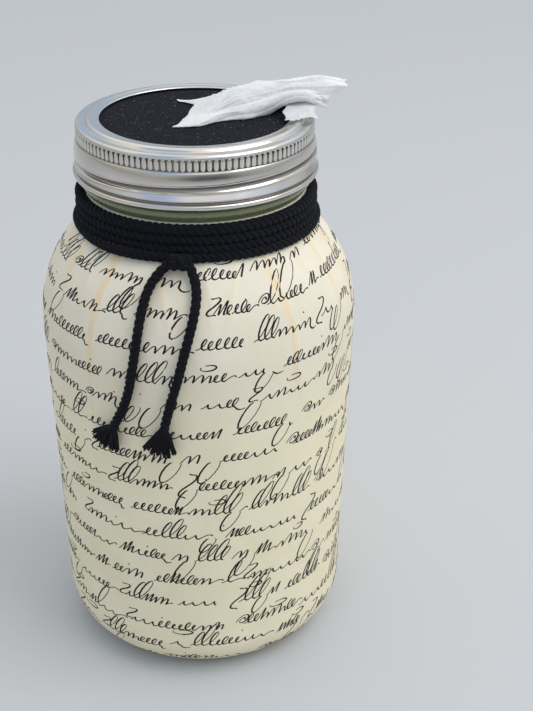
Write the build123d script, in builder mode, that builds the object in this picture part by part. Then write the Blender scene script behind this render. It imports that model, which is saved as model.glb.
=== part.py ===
from build123d import *
from math import atan, cos, pi, radians, sin, sqrt, tan
import os

# Quart jar tissue dispenser: a paper-covered glass jar whose screw band clamps a slit felt disc.
# A roll of interleaved tissues stands inside, and the next tissue is pulled up through the slit.
# A black cord is wound round the neck and knotted in front, with two frayed tails.
# Millimetres, +Z up, origin at the centre of the base; the front looks along -Y.

os.makedirs("parts", exist_ok=True)

# Glass jar: outside radii of the glass itself, heights above the base.
jar_height = 174.4
foot_radius = 46.65
body_radius = 49.25
heel_round = 15.65
shoulder_height = 35.4
neck_height = 7.9
neck_round = 4.95
neck_radius = 33.5
finish_radius = 34.2
glass_wall = 3.0
glass_base = 6.0
foot_ring = 8.0
punt_depth = 2.5
rim_round = 1.2
bead_height = 3.2
bead_projection = 1.7
bead_below_rim = 15.2

# Paper wrap, glued over the glass from the heel to under the top turn of the cord.
paper_thickness = 0.35
paper_bottom = 0.6
paper_under_bead = 1.9

# Felt disc with its slit.
felt_thickness = 2.2
slit_length = 19.0
slit_width = 2.4

# Screw band, pressed from thin sheet.
sheet = 0.45
bend = 0.2
band_height = 16.8
flange_width = 8.1
ring_width = 2.1
groove_width = 4.1
lip_width = 2.3
lip_rise = 0.75
ring_rise = 0.3
corner_width = 0.7
corner_drop = 0.8
skirt_step = 0.6
neck_in = 0.5
neck_in_height = 0.9
hem_projection = 0.7
hem_height = 1.5
knurl_count = 120
knurl_height = 3.2
knurl_depth = 0.35
knurl_width = 1.2
knurl_below_top = 1.8

# Tissues: a pinwheel roll of interleaved leaves and the one on its way out.
sheet_count = 8
roll_radius = 29.0
core_radius = 9.5
roll_height = 107.0
leaf_thickness = 3.0
leaf_gap = 0.5
tissue_width = 16.0
tissue_thickness = 1.4
tissue_start = 70.0
loose_sections = [
    (-9.0, -0.5, 10.5, 0.0, 0.7),
    (1.0, 0.5, 10.5, 0.0, 4.6),
    (14.0, 2.5, 9.5, 0.1, 8.6),
    (27.0, 5.0, 9.5, 1.6, 7.2),
    (37.0, 7.0, 9.0, 2.6, 6.2),
    (47.0, 8.5, 7.0, 5.0, 5.0),
]

# Cord: four turns round the neck, a knot and two tails.
cord_diameter = 2.9
turn_pitch = 2.97
lowest_pitch = 2.66
turns = 4
knot_angle = -8.0
knot_length = 8.4
knot_height = 5.0
tassel_length = 8.5
tassel_width = 10.4

# Clearances.
seat_gap = 0.1
cord_gap = 0.15
tissue_gap = 0.4
thread_room = 1.95
felt_room = 1.05

# Worked out from the sizes above.
cord_radius = cord_diameter / 2
felt_bottom = jar_height + seat_gap
felt_top = felt_bottom + felt_thickness
flange_top = felt_top + seat_gap + sheet
band_top = flange_top + lip_rise
band_bottom = band_top - band_height
bead_bottom = jar_height - bead_below_rim - bead_height / 2
neck_start = bead_bottom - neck_height
shoulder_start = neck_start - shoulder_height
shoulder_turn = 2 * atan((body_radius - neck_radius) / shoulder_height)
shoulder_round = shoulder_height / sin(shoulder_turn) - neck_round
paper_top = bead_bottom - paper_under_bead
mouth_radius = neck_radius - glass_wall
skirt_radius = finish_radius + thread_room + sheet
band_window = skirt_radius - flange_width
lip_radius = skirt_radius - lip_width
felt_radius = skirt_radius - knurl_depth - sheet - felt_room


def jar_outline(inset):
    """Half outline of the jar, heel to neck, moved inwards by inset; returns its top point."""
    foot = foot_radius - inset
    body = body_radius - inset
    neck = neck_radius - inset
    heel = heel_round - inset
    shoulder = shoulder_round - inset
    hollow = neck_round + inset
    leave_r = body - shoulder * (1 - cos(shoulder_turn))
    leave_z = shoulder_start + shoulder * sin(shoulder_turn)
    half = shoulder_turn / 2
    heel_arc = RadiusArc((foot - heel, inset), (foot, heel + inset), -heel)
    side = Line(heel_arc @ 1, (body, shoulder_start))
    middle = (body - shoulder * (1 - cos(half)), shoulder_start + shoulder * sin(half))
    shoulder_arc = ThreePointArc(side @ 1, middle, (leave_r, leave_z))
    middle = (neck + hollow * (1 - cos(half)), neck_start - hollow * sin(half))
    ThreePointArc(shoulder_arc @ 1, middle, (neck, neck_start))
    return neck, neck_start


# The outer glass outline runs heel, body, shoulder, neck, transfer bead, finish and rim.
punt_radius = foot_radius - heel_round - foot_ring
with BuildPart() as glass_jar:
    with BuildSketch(Plane.XZ):
        with BuildLine():
            top = jar_outline(0)
            bead_r = neck_radius + bead_projection
            Polyline(
                top,
                (neck_radius, bead_bottom),
                (bead_r, bead_bottom + bead_height * 0.3),
                (bead_r, bead_bottom + bead_height * 0.7),
                (finish_radius, bead_bottom + bead_height),
                (finish_radius, jar_height),
                (0, jar_height),
                (0, punt_depth),
            )
            ThreePointArc(
                (0, punt_depth),
                (punt_radius / 2, punt_depth * 0.78),
                (punt_radius, 0),
            )
            Line((punt_radius, 0), (foot_radius - heel_round, 0))
        make_face()
    revolve(axis=Axis.Z)
    rim = glass_jar.edges().filter_by(GeomType.CIRCLE).group_by(Axis.Z)[-1]
    fillet(rim, rim_round)
    with BuildSketch(Plane.XZ):
        with BuildLine():
            top = jar_outline(glass_wall)
            Polyline(
                top,
                (mouth_radius, jar_height + rim_round),
                (0, jar_height + rim_round),
                (0, glass_wall),
                (foot_radius - heel_round, glass_wall),
            )
        make_face()
        Rectangle(2 * body_radius, 2 * glass_base, mode=Mode.SUBTRACT)
    revolve(axis=Axis.Z, mode=Mode.SUBTRACT)
    lips = glass_jar.edges().filter_by(GeomType.CIRCLE).group_by(Axis.Z)[-1]
    fillet(lips.sort_by(SortBy.RADIUS)[0], rim_round)
glass_jar.part.label = "glass_jar"
export_step(glass_jar.part, "parts/glass_jar.step")

# The paper lies on the glass: the outline moved out by its thickness, less the glass outline.
with BuildPart() as paper_wrap:
    with BuildSketch(Plane.XZ):
        with BuildLine():
            top = jar_outline(-paper_thickness)
            Polyline(
                top,
                (top[0], paper_top),
                (0, paper_top),
                (0, -paper_thickness),
                (foot_radius - heel_round, -paper_thickness),
            )
        make_face()
        with BuildLine():
            top = jar_outline(0)
            Polyline(
                top,
                (top[0], paper_top),
                (0, paper_top),
                (0, 0),
                (foot_radius - heel_round, 0),
            )
        make_face(mode=Mode.SUBTRACT)
        with Locations((0, paper_bottom - heel_round / 2)):
            Rectangle(4 * body_radius, heel_round, mode=Mode.SUBTRACT)
    revolve(axis=Axis.Z)
paper_wrap.part.label = "paper_wrap"
export_step(paper_wrap.part, "parts/paper_wrap.step")

# The felt disc lies on the rim; the slit runs front to back through its centre.
with BuildPart() as felt_disc:
    with BuildSketch(Plane.XY.offset(felt_bottom)):
        Circle(felt_radius)
        SlotOverall(slit_length, slit_width, rotation=90, mode=Mode.SUBTRACT)
    extrude(amount=felt_thickness)
felt_disc.part.label = "felt_disc"
export_step(felt_disc.part, "parts/felt_disc.step")

# The band is one skin: window edge, ring, groove, rolled lip, skirt, neck-in and bottom hem.
knurl_top = band_top - knurl_below_top
knurl_bottom = knurl_top - knurl_height
hem_top = band_bottom + hem_height
skin = [
    (band_window, flange_top),
    (band_window + ring_width, flange_top + ring_rise),
    (band_window + groove_width, flange_top),
    (lip_radius, band_top),
    (skirt_radius - corner_width, band_top - corner_drop),
    (skirt_radius - knurl_depth, knurl_top),
    (skirt_radius - knurl_depth, knurl_bottom),
    (skirt_radius, knurl_bottom - skirt_step),
    (skirt_radius, hem_top + neck_in_height),
    (skirt_radius - neck_in, hem_top + neck_in_height / 2),
    (skirt_radius + hem_projection, band_bottom + hem_height * 0.75),
    (skirt_radius + hem_projection, band_bottom + hem_height * 0.25),
    (skirt_radius, band_bottom),
]


def moved_right(points, amount):
    """The points of a polyline moved to its right by amount, with mitred corners."""
    path = [Vector(*p) for p in points]
    ways = [(after - here).normalized() for here, after in zip(path, path[1:])]
    rights = [Vector(way.Y, -way.X) for way in ways]
    pairs = zip([rights[0], *rights], [*rights, rights[-1]])
    return [
        here + (a + b) * (amount / (1 + a.dot(b)))
        for here, (a, b) in zip(path, pairs)
    ]


with BuildPart() as screw_band:
    with BuildSketch(Plane.XZ):
        with BuildLine():
            face_side = FilletPolyline(*skin, radius=bend)
            back_side = FilletPolyline(*moved_right(skin, sheet), radius=bend)
            Line(face_side @ 0, back_side @ 0)
            Line(face_side @ 1, back_side @ 1)
        make_face()
    revolve(axis=Axis.Z)
    with BuildSketch(Plane.XY.offset(knurl_bottom)):
        with PolarLocations(skirt_radius - knurl_depth, knurl_count):
            Rectangle(2 * knurl_depth, knurl_width)
    extrude(amount=knurl_height)
screw_band.part.label = "screw_band"
export_step(screw_band.part, "parts/screw_band.step")


def leaf_side(radius_in, growth, span):
    """Points of one spiral side of a tissue leaf, starting on the +X axis."""
    steps = 7
    return [
        (
            (radius_in + growth * span * k / steps) * cos(span * k / steps),
            (radius_in + growth * span * k / steps) * sin(span * k / steps),
        )
        for k in range(steps + 1)
    ]


# Each leaf is wound over its neighbours, so the leaf outside draws the next one with it.
leaf_growth = (leaf_thickness + leaf_gap) * sheet_count / (2 * pi)
leaf_span = (roll_radius - leaf_thickness - core_radius) / leaf_growth
for number in range(sheet_count):
    turned = Plane.XY.offset(glass_base).rotated((0, 0, 360 / sheet_count * number))
    with BuildPart() as tissue_sheet:
        with BuildSketch(turned):
            with BuildLine():
                near = Spline(*leaf_side(core_radius, leaf_growth, leaf_span))
                far = Spline(*leaf_side(core_radius + leaf_thickness, leaf_growth, leaf_span))
                Line(near @ 0, far @ 0)
                Line(near @ 1, far @ 1)
            make_face()
        extrude(amount=roll_height)
    name = f"tissue_sheet_{number + 1}"
    tissue_sheet.part.label = name
    export_step(tissue_sheet.part, f"parts/{name}.step")

# The tissue on its way out: a flat strip up through the slit, then the loose end, which lies on
# the felt to the left and passes over the band's lip to the right. Each section of the loose end
# has its place along X, its middle along Y, half its width, its rise above the felt, its height.
on_felt = felt_top + tissue_gap
with BuildPart() as pulled_tissue:
    with BuildSketch(Plane.XY.offset(tissue_start)):
        Rectangle(tissue_thickness, tissue_width)
    extrude(amount=on_felt + loose_sections[1][4] / 2 - tissue_start)
    for place, middle, half_width, rise, height in loose_sections:
        origin = (place, middle, on_felt + rise)
        with BuildSketch(Plane(origin=origin, x_dir=(0, 1, 0), z_dir=(1, 0, 0))):
            with BuildLine():
                crown = ThreePointArc((-half_width, 0), (0, height), (half_width, 0))
                Line(crown @ 1, crown @ 0)
            make_face()
    loft(ruled=True)
pulled_tissue.part.label = "pulled_tissue"
export_step(pulled_tissue.part, "parts/pulled_tissue.step")


def around(angle, radius, height):
    """A point at an angle in degrees from the front, counted towards +X."""
    return (radius * sin(radians(angle)), -radius * cos(radians(angle)), height)


def cord_path(points):
    """Straight runs joined by the largest tangent arcs; prints the smallest and largest radius."""
    path = [Vector(*p) for p in points]
    radii = []
    for before, here, after in zip(path, path[1:], path[2:]):
        turn = radians((here - before).get_angle(after - here))
        shorter = min((here - before).length, (after - here).length)
        radii.append(0.45 * shorter / tan(turn / 2))
    print("cord arc radii", [round(r, 1) for r in radii])
    return FilletPolyline(*points, radius=radii)


def cord_tube(path):
    """A round tube along the path."""
    with BuildPart(mode=Mode.PRIVATE) as tube:
        with BuildLine():
            line = cord_path(path)
        with BuildSketch(Plane(origin=line @ 0, z_dir=line % 0)):
            Circle(cord_radius)
        sweep()
    area = pi * cord_radius**2
    print("cord length", round(line.length, 1), "volume share", tube.part.volume / area / line.length)
    return tube.part


# Heights and centre radii of the turns: the lowest lies on the shoulder, the rest on the neck.
paper_neck = neck_radius + paper_thickness
turn_top = bead_bottom - cord_radius - cord_gap
turn_heights = [turn_top - turn_pitch * (turns - 1 - k) for k in range(turns)]
turn_heights[0] = turn_heights[1] - lowest_pitch
ball = shoulder_round + paper_thickness + cord_radius + cord_gap
ball_r = body_radius - shoulder_round
on_neck = paper_neck + cord_radius + cord_gap
turn_radii = []
for height in turn_heights:
    rise = height - shoulder_start
    on_shoulder = ball_r + sqrt(max(ball**2 - rise**2, 0))
    turn_radii.append(max(on_neck, on_shoulder))

# Every turn is level and steps up behind; the last comes down behind over the others to the knot.
step = 36
corner = cos(radians(step / 2))
half_corner = cos(radians(step / 4))
right_side = [step / 2 + step * k for k in range(5)]
left_side = [180 + angle for angle in right_side]
low_z, low_r = turn_heights[0], turn_radii[0]
high_z, high_r = turn_heights[-1], turn_radii[-1]
over_r = low_r + cord_diameter + cord_gap
wrap = [around(knot_angle + 2, low_r, low_z)]
for k in range(turns - 1):
    wrap += [around(a, turn_radii[k] / corner, turn_heights[k]) for a in right_side]
    wrap += [around(a, turn_radii[k + 1] / corner, turn_heights[k + 1]) for a in left_side]
wrap += [around(a, high_r / corner, high_z) for a in right_side[:-1]]
drop = high_z - low_z
wrap += [
    around(144, (high_r + over_r) / 2 / half_corner, high_z),
    around(162, over_r / half_corner, high_z - 0.16 * drop),
    around(180, over_r / half_corner, high_z - 0.5 * drop),
    around(198, over_r / half_corner, high_z - 0.86 * drop),
    around(216, (low_r + over_r) / 2 / half_corner, low_z),
    around(234, low_r / corner, low_z),
    around(270, low_r / corner, low_z),
    around(306, low_r / corner, low_z),
    around(332, low_r / corner, low_z),
    around(360 + knot_angle - 2, low_r, low_z),
]
with BuildPart() as neck_cord:
    add(cord_tube(wrap))
neck_cord.part.label = "neck_cord"
export_step(neck_cord.part, "parts/neck_cord.step")

# The knot is a barrel along the cord with one turn drawn over its middle.
knot_r = low_r + knot_height / 2 + 0.3
knot_centre = around(knot_angle, knot_r, low_z - 0.6)
along = (cos(radians(knot_angle)), sin(radians(knot_angle)), 0)
knot_plane = Plane(origin=knot_centre, x_dir=along, z_dir=(0, 0, 1))
with BuildPart() as cord_knot:
    with BuildSketch(knot_plane):
        Ellipse(knot_length / 2, knot_height / 2)
        with Locations((0, -knot_height)):
            Rectangle(2 * knot_length, 2 * knot_height, mode=Mode.SUBTRACT)
    revolve(axis=Axis(knot_centre, along))
    with BuildSketch(knot_plane):
        with Locations((0, knot_height / 2 - cord_radius + 0.35)):
            Circle(cord_radius)
        with Locations((0, -knot_height)):
            Rectangle(2 * knot_length, 2 * knot_height, mode=Mode.SUBTRACT)
    revolve(axis=Axis(knot_centre, along))
cord_knot.part.label = "cord_knot"
export_step(cord_knot.part, "parts/cord_knot.step")

# The tails leave the two ends of the knot and hang down the shoulder, each to a frayed end.
tails = {
    "left": [
        (-8.4, -38.6, 146.4),
        (-12.4, -39.4, 143.0),
        (-15.6, -42.6, 137.6),
        (-17.7, -46.2, 129.0),
        (-19.6, -47.8, 118.0),
        (-21.4, -47.1, 108.4),
        (-24.2, -45.6, 101.0),
        (-26.9, -43.9, 95.3),
    ],
    "right": [
        (-2.6, -39.8, 146.2),
        (-0.9, -41.8, 142.4),
        (-0.6, -45.1, 138.0),
        (-2.2, -48.6, 131.4),
        (-4.8, -51.0, 122.8),
        (-7.0, -51.6, 114.4),
        (-9.6, -51.2, 105.8),
        (-11.4, -50.4, 97.6),
    ],
}
for side, route in tails.items():
    with BuildPart() as tail:
        add(cord_tube(route))
    tail.part.label = f"tail_{side}"
    export_step(tail.part, f"parts/tail_{side}.step")

    end = Vector(*route[-1])
    way = (end - Vector(*route[-2])).normalized()
    outward = Vector(end.X, end.Y, 0).normalized()
    across = way.cross(outward).normalized()
    start_plane = Plane(origin=end, x_dir=across, z_dir=way)
    tip = end + way * tassel_length + outward * (cord_radius * 0.6)
    with BuildPart() as tassel:
        with BuildSketch(start_plane):
            Ellipse(cord_radius * 1.15, cord_radius)
        with BuildSketch(Plane(origin=tip, x_dir=across, z_dir=way)):
            Ellipse(tassel_width / 2, cord_radius * 1.2)
        loft()
    tassel.part.label = f"tassel_{side}"
    export_step(tassel.part, f"parts/tassel_{side}.step")
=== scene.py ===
# %% [markdown]
# # A jar that hands out tissues
# A quart jar stands on a pale floor. It is covered with cream paper full of pen flourishes, a
# black cord is wound round its neck, and a tissue comes out of a slit in the felt lid. The packed
# CAD model is the fixed frame: every piece below is placed from it, in metres.

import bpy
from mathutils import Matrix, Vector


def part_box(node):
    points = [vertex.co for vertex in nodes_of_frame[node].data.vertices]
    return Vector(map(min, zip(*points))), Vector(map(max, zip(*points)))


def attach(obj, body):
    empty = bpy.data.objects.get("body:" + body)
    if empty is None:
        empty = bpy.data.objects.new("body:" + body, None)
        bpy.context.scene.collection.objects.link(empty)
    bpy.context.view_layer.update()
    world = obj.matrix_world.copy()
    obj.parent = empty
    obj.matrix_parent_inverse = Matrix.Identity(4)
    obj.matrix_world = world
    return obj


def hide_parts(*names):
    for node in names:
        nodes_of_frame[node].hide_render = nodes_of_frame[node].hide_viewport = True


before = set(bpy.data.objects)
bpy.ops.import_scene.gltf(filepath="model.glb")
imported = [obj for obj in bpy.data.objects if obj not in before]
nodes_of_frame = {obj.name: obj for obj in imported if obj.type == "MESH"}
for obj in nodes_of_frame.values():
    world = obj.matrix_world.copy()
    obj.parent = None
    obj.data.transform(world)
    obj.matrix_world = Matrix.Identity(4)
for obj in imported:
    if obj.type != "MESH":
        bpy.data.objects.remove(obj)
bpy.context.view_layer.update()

# %% Tools and units
import random
from math import cos, exp, pi, radians, sin

import bmesh
import bpy
import numpy as np
from mathutils import Matrix, Vector, noise
from mathutils.bvhtree import BVHTree

MM = 0.001
scene = bpy.context.scene
scene.view_settings.view_transform = "Standard"

# %% [markdown]
# ## The camera
# The camera stands close in front of the jar and above it, and looks down and a few degrees to
# the right. It is built from its three directions, because that keeps its small roll exact.

# %% Camera
pitch, yaw, roll = radians(28.01), radians(3.31), radians(0.24)
camera_place = (0, -0.3751, 0.29539)
forward = Vector((sin(yaw) * cos(pitch), cos(yaw) * cos(pitch), -sin(pitch)))
level = Vector((cos(yaw), -sin(yaw), 0))
upward = level.cross(forward)
right = cos(roll) * level + sin(roll) * upward
upward = cos(roll) * upward - sin(roll) * level
camera_data = bpy.data.cameras.new("camera")
camera_data.lens = 65.41
camera = bpy.data.objects.new("camera", camera_data)
scene.collection.objects.link(camera)
turned = Matrix((right, upward, -forward)).transposed().to_4x4()
camera.matrix_world = Matrix.Translation(camera_place) @ turned
scene.camera = camera
print("camera looks down by", round(pitch * 180 / pi, 1), "degrees")

# %% [markdown]
# ## Mesh helpers
# A plain mesh comes from points and faces. Most soft or turned pieces here are a sheet: rows of
# points, joined into quads. `settle` turns what an object's modifiers make into the object's own
# mesh, so that nothing live is left on a finished piece.

# %% Mesh helpers
def around(angle, radius, height):
    """A point at an angle in degrees from the front, counted towards +X; the rest in mm."""
    return Vector((sin(radians(angle)) * radius, -cos(radians(angle)) * radius, height)) * MM


def add_mesh(name, points, faces, edges=()):
    """A new mesh object at the origin."""
    data = bpy.data.meshes.new(name)
    data.from_pydata([tuple(p) for p in points], edges, faces)
    made = bpy.data.objects.new(name, data)
    scene.collection.objects.link(made)
    return made


def add_sheet(name, points, columns, closed=True, flip=False):
    """A smooth sheet from rows of points. In a closed one the last column meets the first."""
    faces = []
    for row in range(len(points) // columns - 1):
        here, there = row * columns, (row + 1) * columns
        for column in range(columns if closed else columns - 1):
            after = (column + 1) % columns
            a, b = here + column, here + after
            c, d = there + after, there + column
            faces.append((a, d, c, b) if flip else (a, b, c, d))
    made = add_mesh(name, points, faces)
    made.data.shade_smooth()
    return made


def keep_numbers(piece, name, values):
    """Keeps a number on each point of a piece, for its material or its tree to read."""
    layer = piece.data.attributes.new(name, "FLOAT", "POINT")
    layer.data.foreach_set("value", values)


def settle(piece):
    """Makes what the modifiers give the piece's own plain mesh."""
    graph = bpy.context.evaluated_depsgraph_get()
    plain = bpy.data.meshes.new_from_object(piece.evaluated_get(graph), depsgraph=graph)
    piece.modifiers.clear()
    piece.data = plain
    plain.name = piece.name
    return piece


def thicken(piece, thickness, offset=-1):
    """Gives a sheet its thickness: behind its face, or to both sides with an offset of 0."""
    solid = piece.modifiers.new("thickness", "SOLIDIFY")
    solid.thickness = thickness
    solid.offset = offset
    settle(piece)


def dress(piece, body, stands_for=(), finish=None):
    """Sets a finished piece on its body, with its finish and the nodes it replaces."""
    if finish:
        piece.data.materials.clear()
        piece.data.materials.append(finish)
    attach(piece, body)
    if stands_for:
        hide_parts(*stands_for)
    print(piece.name, "rides on", body, "with", len(piece.data.polygons), "faces")


# %% [markdown]
# ## Node helpers
# Shader trees and Geometry Nodes trees are wired the same way: a node is added, its settings are
# given by name, and each input gets a value or a link. A bench holds one tree and does that, so
# the trees below read as short sums.

# %% Node helpers
class Bench:
    """A node tree, with short ways to add and wire its nodes."""

    def __init__(self, tree):
        self.tree = tree

    def wire(self, value, socket):
        """Links an output to an input, or writes a plain value into it."""
        if isinstance(value, bpy.types.NodeSocket):
            self.tree.links.new(value, socket)
        else:
            socket.default_value = value

    def node(self, kind, inputs=None, **settings):
        """Adds a node, wires or sets its inputs, and returns its outputs."""
        made = self.tree.nodes.new(kind)
        for name, value in settings.items():
            setattr(made, name, value)
        for name, value in (inputs or {}).items():
            self.wire(value, made.inputs[name])
        return made.outputs

    def geo(self, kind, **parts):
        """A Geometry Nodes node, without its prefix. Inputs are capitalised, settings are not."""
        inputs, settings = {}, {}
        for name, value in parts.items():
            if name[0].isupper():
                inputs[name.replace("_", " ")] = value
            else:
                settings[name] = value
        return self.node("GeometryNode" + kind, inputs, **settings)

    def calc(self, operation, *values):
        """One Math node."""
        return self.node("ShaderNodeMath", dict(enumerate(values)), operation=operation)[0]

    def times(self, one, other):
        """The product of two values."""
        return self.calc("MULTIPLY", one, other)

    def plus(self, one, other):
        """The sum of two values."""
        return self.calc("ADD", one, other)

    def vector(self, operation, *values):
        """One Vector Math node. Scale keeps its number in the socket named Scale."""
        inputs = dict(enumerate(values))
        if operation == "SCALE":
            inputs = {0: values[0], "Scale": values[1]}
        output = "Value" if operation == "DOT_PRODUCT" else "Vector"
        return self.node("ShaderNodeVectorMath", inputs, operation=operation)[output]

    def xyz(self, x=0, y=0, z=0):
        """Three numbers as one vector."""
        return self.node("ShaderNodeCombineXYZ", {"X": x, "Y": y, "Z": z})[0]

    def split(self, whole):
        """The X, Y and Z of a vector."""
        return self.node("ShaderNodeSeparateXYZ", {0: whole})

    def dice(self, low, high, seed, shift, who=None):
        """A random number of its own for each element, the same in every run."""
        inputs = {2: low, 3: high, "Seed": self.plus(seed, shift)}
        if who is not None:
            inputs["ID"] = who
        return self.node("FunctionNodeRandomValue", inputs, data_type="FLOAT")[1]

    def noise(self, scale, detail=2.0, stretch=(1, 1, 1), roughness=0.5):
        """Noise on Object coordinates, with a stretch for grain that runs one way."""
        place = self.node("ShaderNodeTexCoord")["Object"]
        spread = self.node("ShaderNodeMapping", {"Vector": place, "Scale": stretch})[0]
        inputs = {"Vector": spread, "Scale": scale, "Detail": detail, "Roughness": roughness}
        return self.node("ShaderNodeTexNoise", inputs)[0]

    def ramp(self, value, *stops):
        """A colour ramp from (position, colour) stops."""
        made = self.tree.nodes.new("ShaderNodeValToRGB")
        points = made.color_ramp.elements
        while len(points) < len(stops):
            points.new(0.5)
        for point, (where, colour) in zip(points, stops):
            point.position = where
            point.color = (*colour, 1)
        self.tree.links.new(value, made.inputs[0])
        return made.outputs[0]

    def mix(self, kept_number, plain, other):
        """Mixes two colours by a number that is kept on the piece's points."""
        share = self.node("ShaderNodeAttribute", attribute_name=kept_number)["Fac"]
        inputs = {0: share, 6: plain, 7: other}
        return self.node("ShaderNodeMix", inputs, data_type="RGBA")[2]

    def bump(self, height, distance, strength=1.0):
        """A normal from a height, with the relief's depth in metres."""
        inputs = {"Height": height, "Distance": distance, "Strength": strength}
        return self.node("ShaderNodeBump", inputs)[0]


print("helpers ready")

# %% [markdown]
# A material is the Principled shader with its constants on its own sockets, and its few changing
# inputs wired. A Geometry Nodes tree has named inputs, which are set by their identifiers when it
# runs on a piece, and its result is settled into a plain mesh at once.

# %% Materials and trees
def start_material(name, **constants):
    """A Principled material, its bench and its shader's inputs."""
    made = bpy.data.materials.new(name)
    made.use_nodes = True
    shader = made.node_tree.nodes["Principled BSDF"]
    for label, value in constants.items():
        shader.inputs[label.replace("_", " ")].default_value = value
    return made, Bench(made.node_tree), shader.inputs


def start_tree(name, **sizes):
    """The bench of a new Geometry Nodes tree, and the sockets that its sizes arrive on."""
    tree = bpy.data.node_groups.new(name, "GeometryNodeTree")
    face = tree.interface
    face.new_socket("Geometry", in_out="INPUT", socket_type="NodeSocketGeometry")
    for label, kind in sizes.items():
        label = label.replace("_", " ")
        face.new_socket(label, in_out="INPUT", socket_type="NodeSocket" + kind)
    face.new_socket("Geometry", in_out="OUTPUT", socket_type="NodeSocketGeometry")
    return Bench(tree), tree.nodes.new("NodeGroupInput").outputs


def end_tree(bench, geometry, finish):
    """Ends a tree in smooth shading, Realize Instances and Set Material."""
    smooth = bench.geo("SetShadeSmooth", Geometry=geometry)[0]
    whole = bench.geo("RealizeInstances", Geometry=smooth)[0]
    painted = bench.geo("SetMaterial", Geometry=whole, Material=finish)[0]
    bench.wire(painted, bench.tree.nodes.new("NodeGroupOutput").inputs[0])
    print(bench.tree.name, "has", len(bench.tree.nodes), "nodes")


def sweep(bench, line, profile, finish, **more):
    """Ends a tree in a profile that is swept along its lines."""
    swept = bench.geo("CurveToMesh", Curve=line, Profile_Curve=profile, **more, Fill_Caps=True)
    end_tree(bench, swept[0], finish)


def grow(piece, bench, **sizes):
    """Runs a tree on a piece with its sizes, and settles the result."""
    modifier = piece.modifiers.new(bench.tree.name, "NODES")
    modifier.node_group = bench.tree
    for item in bench.tree.interface.items_tree:
        label = item.name.replace(" ", "_")
        if item.in_out == "INPUT" and label in sizes:
            modifier[item.identifier] = sizes[label]
    return settle(piece)


# %% [markdown]
# ## Cord: what it is
# The cord is a soft black cotton one of 2.9 mm, three plies laid into a right-hand twist. Real
# plies bulge between their neighbours, so each one is drawn as its own round strand. A noise
# bump stands for the fuzz, and sheen gives the dusty blue light that black cotton catches.

# %% Cord finish
cord_black, bench, shader = start_material(
    "cord_cotton", Roughness=0.9, Specular_IOR_Level=0.12, Sheen_Weight=0.06,
    Sheen_Roughness=0.5, Sheen_Tint=(0.55, 0.6, 0.75, 1),
)
fuzz = bench.noise(2600, 3)
tint = bench.ramp(fuzz, (0.3, (0.003, 0.003, 0.0045)), (0.75, (0.013, 0.0135, 0.018)))
bench.wire(tint, shader["Base Color"])
bench.wire(bench.bump(fuzz, 0.25 * MM), shader["Normal"])
print("cord finish ready")

# %% [markdown]
# A Geometry Nodes tree lays the plies along any line: the line is copied once for each ply, each
# copy is turned round the line by its length over the lay, and a round profile gives it its body.

# %% Twisted cord tree
ply_out, ply_radius = 0.245, 0.275  # shares of the cord's diameter
rope, given = start_tree(
    "twisted_cord", Plies="Int", Lay="Float", Diameter="Float", Step="Float"
)
line = rope.geo("MeshToCurve", Mesh=given["Geometry"])[0]
line = rope.geo("ResampleCurve", Curve=line, Length=given["Step"], mode="LENGTH")[0]
copies = rope.geo("DuplicateElements", Geometry=line, Amount=given["Plies"], domain="SPLINE")
run = rope.geo("SplineParameter")["Length"]
share = rope.calc("DIVIDE", copies["Duplicate Index"], given["Plies"])
turn = rope.plus(rope.calc("DIVIDE", run, given["Lay"]), share)
turn = rope.times(turn, 2 * pi)
normal = rope.geo("InputNormal")[0]
tangent = rope.geo("InputTangent")[0]
side = rope.vector("CROSS_PRODUCT", tangent, normal)
out = rope.times(given["Diameter"], ply_out)
plump = rope.times(given["Diameter"], ply_radius)
one = rope.vector("SCALE", normal, rope.calc("COSINE", turn))
two = rope.vector("SCALE", side, rope.calc("SINE", turn))
offset = rope.vector("SCALE", rope.vector("ADD", one, two), out)
ply = rope.geo("SetPosition", Geometry=copies["Geometry"], Offset=offset)[0]
profile = rope.geo("CurvePrimitiveCircle", Resolution=8, Radius=plump)[0]
sweep(rope, ply, profile, cord_black)

# %% [markdown]
# A cord needs a smooth line to lie on. Its route is a short list of places, and a NURBS curve
# runs between them the way a limp cord does, without a sharp turn at any place.

# %% Cord lines
cord_diameter = 2.9 * MM
cord_lay = 6.2 * MM


def smooth_line(name, route):
    """Points read from a NURBS line that has the route's points as its control points."""
    data = bpy.data.curves.new(name, "CURVE")
    data.dimensions = "3D"
    spline = data.splines.new("NURBS")
    spline.points.add(len(route) - 1)
    for point, place in zip(spline.points, route):
        point.co = (*place, 1)
    spline.order_u = 3
    spline.use_endpoint_u = True
    spline.resolution_u = 12
    made = bpy.data.objects.new(name, data)
    scene.collection.objects.link(made)
    graph = bpy.context.evaluated_depsgraph_get()
    plain = bpy.data.meshes.new_from_object(made.evaluated_get(graph))
    points = [v.co.copy() for v in plain.vertices]
    bpy.data.objects.remove(made)
    return points


def length_of(points):
    """The length of a line of points."""
    return sum((b - a).length for a, b in zip(points, points[1:]))


def lay_cord(name, points, diameter=cord_diameter, step=0.4 * MM):
    """A twisted cord along a line of points."""
    edges = [(k, k + 1) for k in range(len(points) - 1)]
    piece = add_mesh(name, points, [], edges)
    return grow(piece, rope, Plies=3, Lay=cord_lay, Diameter=diameter, Step=step)


print("cord is", round(cord_diameter / MM, 1), "mm thick")


# %% [markdown]
# ## The two tails
# The free ends leave the knot, bow apart over the shoulder and hang on the paper. Their routes
# are the CAD model's own points. Each ends in a frayed tuft, which goes with it.

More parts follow.
